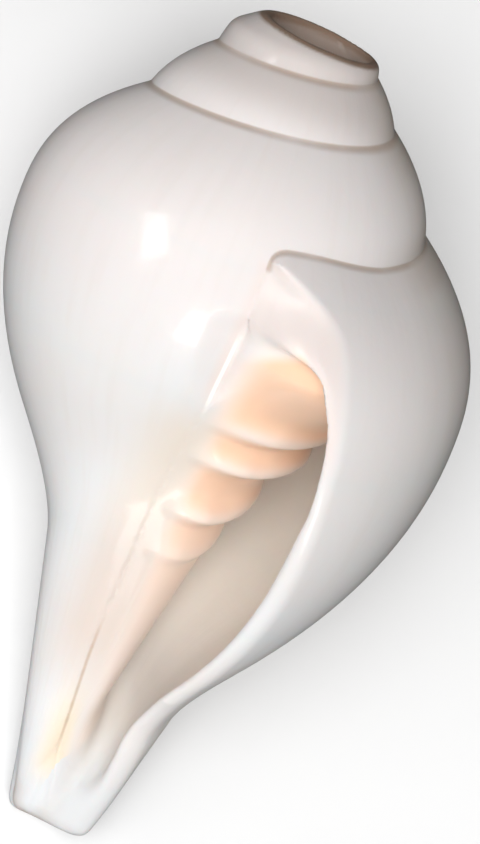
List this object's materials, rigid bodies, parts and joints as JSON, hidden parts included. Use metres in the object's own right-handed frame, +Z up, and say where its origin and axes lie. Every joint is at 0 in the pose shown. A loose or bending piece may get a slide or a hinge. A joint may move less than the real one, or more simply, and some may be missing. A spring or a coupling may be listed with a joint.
{
  "type": "conch shell",
  "caption": "Polished spiral sea shell with a swollen body whorl, long open canal, folded peach columella and an apex sawn open as a blow hole.",
  "frame": {"origin": "bottom centre of the bounding box of the shell as it lies on its back, on the surface it rests on", "axes": "+Z up, away from the surface, with the aperture facing up; +Y along the length from the canal tip to the sawn apex; +X to the right of the aperture, on the outer lip's side"},
  "size_m": [0.084, 0.144, 0.0856],
  "materials": {
    "shell": "polished, porcelain-like, off-white with a peach columella"
  },
  "bodies": {
    "root": {"shell": "shell"}
  },
  "joints": []
}
